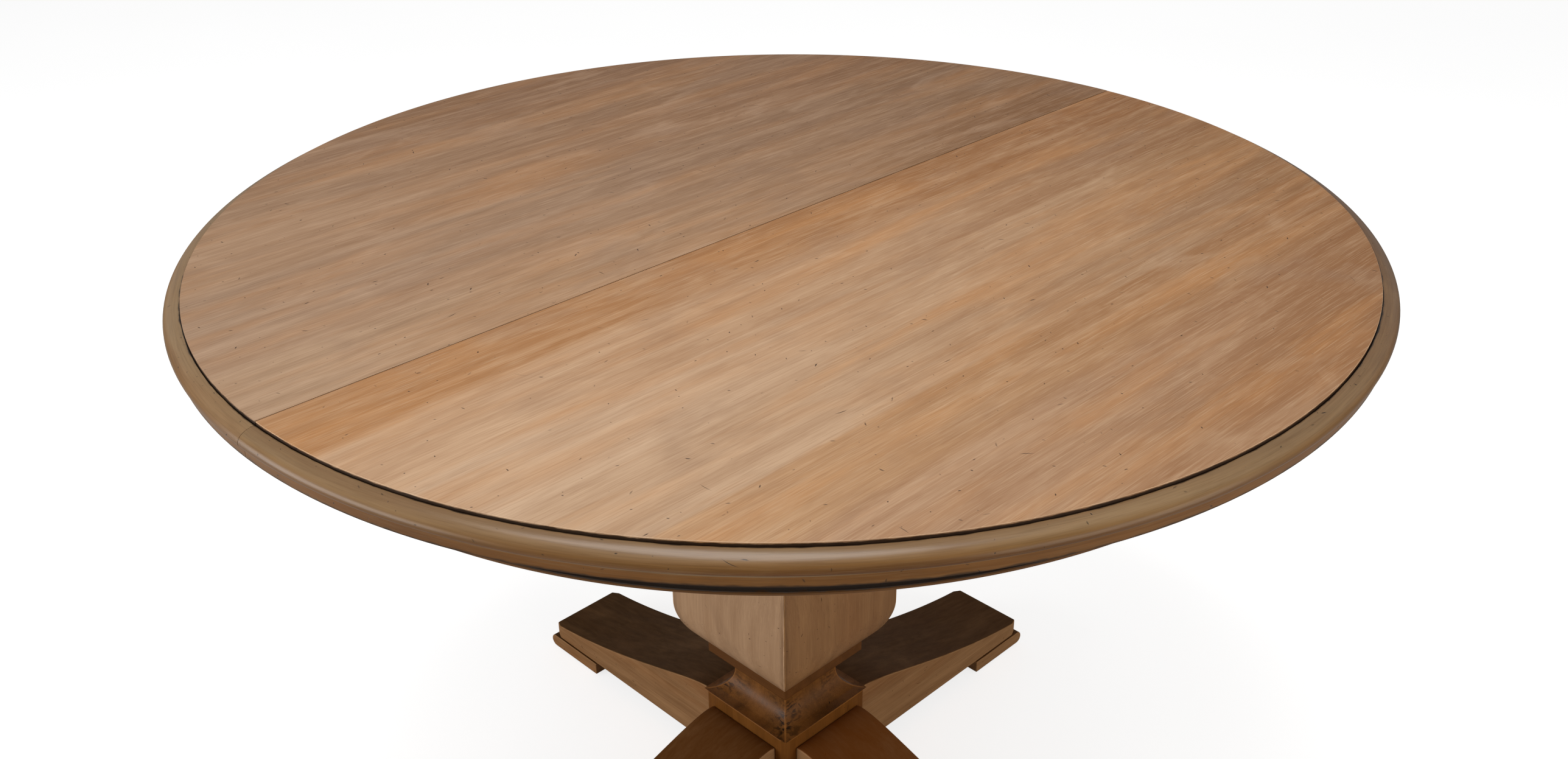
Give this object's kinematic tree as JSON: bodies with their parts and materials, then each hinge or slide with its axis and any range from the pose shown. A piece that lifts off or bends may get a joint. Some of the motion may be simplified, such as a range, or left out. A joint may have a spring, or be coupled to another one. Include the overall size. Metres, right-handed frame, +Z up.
{
  "type": "round pedestal table",
  "caption": "Round dining table on a square-section baluster pedestal with scrolled legs; its top parts across the middle on geared slides to take a leaf.",
  "frame": {"origin": "on the floor, under the middle of the closed table", "axes": "+Z up; the seam of the top runs along Y, the two halves slide apart along X, and the legs point along X and Y"},
  "size_m": [1.2188, 1.219, 0.762],
  "materials": {
    "field_wood": "satin, distressed",
    "rim_wood": "satin, distressed, glazed",
    "apron_wood": "satin, glazed",
    "column_wood": "satin, glazed",
    "base_wood": "satin, glazed",
    "inner_wood": "bare, sanded",
    "plywood": "bare, sanded",
    "zinc_steel": "zinc plated",
    "black_steel": "powder coated",
    "gear_plastic": "moulded nylon",
    "glide_plastic": "moulded nylon"
  },
  "bodies": {
    "pedestal": {"glides": "glide_plastic", "foot_pad_right": "base_wood", "foot_pad_back": "base_wood", "foot_pad_left": "base_wood", "foot_pad_front": "base_wood", "leg_right": "base_wood", "leg_back": "base_wood", "leg_left": "base_wood", "leg_front": "base_wood", "leg_dowels": "inner_wood", "leg_bolts": "zinc_steel", "leg_bolt_washers": "zinc_steel", "leg_bolt_nuts": "zinc_steel", "base_plate": "black_steel", "base_plate_screws": "zinc_steel", "plinth": "base_wood", "scotia_block": "base_wood", "neck_collar": "column_wood", "column_plugs": "inner_wood", "column_stave_right": "column_wood", "column_stave_back": "column_wood", "column_stave_left": "column_wood", "column_stave_front": "column_wood", "neck_ring": "column_wood", "capital": "column_wood", "tie_rod": "zinc_steel", "tie_rod_washers": "zinc_steel", "tie_rod_nuts": "zinc_steel", "mounting_plate": "plywood", "mounting_screws": "zinc_steel", "center_rail_front": "inner_wood", "center_rail_back": "inner_wood", "rail_screws": "zinc_steel", "pinion_axles": "zinc_steel"},
    "left_half": {"left_panel": "field_wood", "left_rim": "rim_wood", "left_apron": "apron_wood", "left_bead": "apron_wood", "left_runners": "inner_wood", "left_racks": "gear_plastic", "left_battens": "inner_wood", "left_blocks": "inner_wood", "left_screws": "zinc_steel", "latch_keepers": "zinc_steel"},
    "right_half": {"right_panel": "field_wood", "right_rim": "rim_wood", "right_apron": "apron_wood", "right_bead": "apron_wood", "right_runners": "inner_wood", "right_racks": "gear_plastic", "right_battens": "inner_wood", "right_blocks": "inner_wood", "right_screws": "zinc_steel", "alignment_pins": "inner_wood", "latch_pivots": "zinc_steel"},
    "pinion_front": {"pinion_front": "gear_plastic"},
    "pinion_back": {"pinion_back": "gear_plastic"},
    "latch_front": {"latch_front": "black_steel"},
    "latch_back": {"latch_back": "black_steel"}
  },
  "joints": [
    {"name": "left_slide", "type": "slide", "parent": "pedestal", "child": "left_half", "axis": [-1, 0, 0], "range_m": [0, 0.2285]},
    {"name": "right_slide", "type": "slide", "parent": "pedestal", "child": "right_half", "axis": [1, 0, 0], "range_m": [0, 0.2286]},
    {"name": "pinion_front_spin", "type": "hinge", "parent": "pedestal", "child": "pinion_front", "pos_m": [0, -0.15, 0.716], "axis": [0, 0, 1], "range_deg": [-5, 735]},
    {"name": "pinion_back_spin", "type": "hinge", "parent": "pedestal", "child": "pinion_back", "pos_m": [0, 0.15, 0.716], "axis": [0, 0, 1], "range_deg": [-5, 735]},
    {"name": "latch_front_turn", "type": "hinge", "parent": "right_half", "child": "latch_front", "pos_m": [0.025, -0.42, 0.7365], "axis": [0, 0, 1], "range_deg": [0, 90]},
    {"name": "latch_back_turn", "type": "hinge", "parent": "right_half", "child": "latch_back", "pos_m": [0.025, 0.42, 0.7365], "axis": [0, 0, -1], "range_deg": [0, 90]}
  ],
  "couplings": [
    {"joint": "right_slide", "follows": "left_slide", "ratio": 1},
    {"joint": "pinion_front_spin", "follows": "left_slide", "rad_per_m": 55.556},
    {"joint": "pinion_back_spin", "follows": "left_slide", "rad_per_m": 55.556}
  ]
}
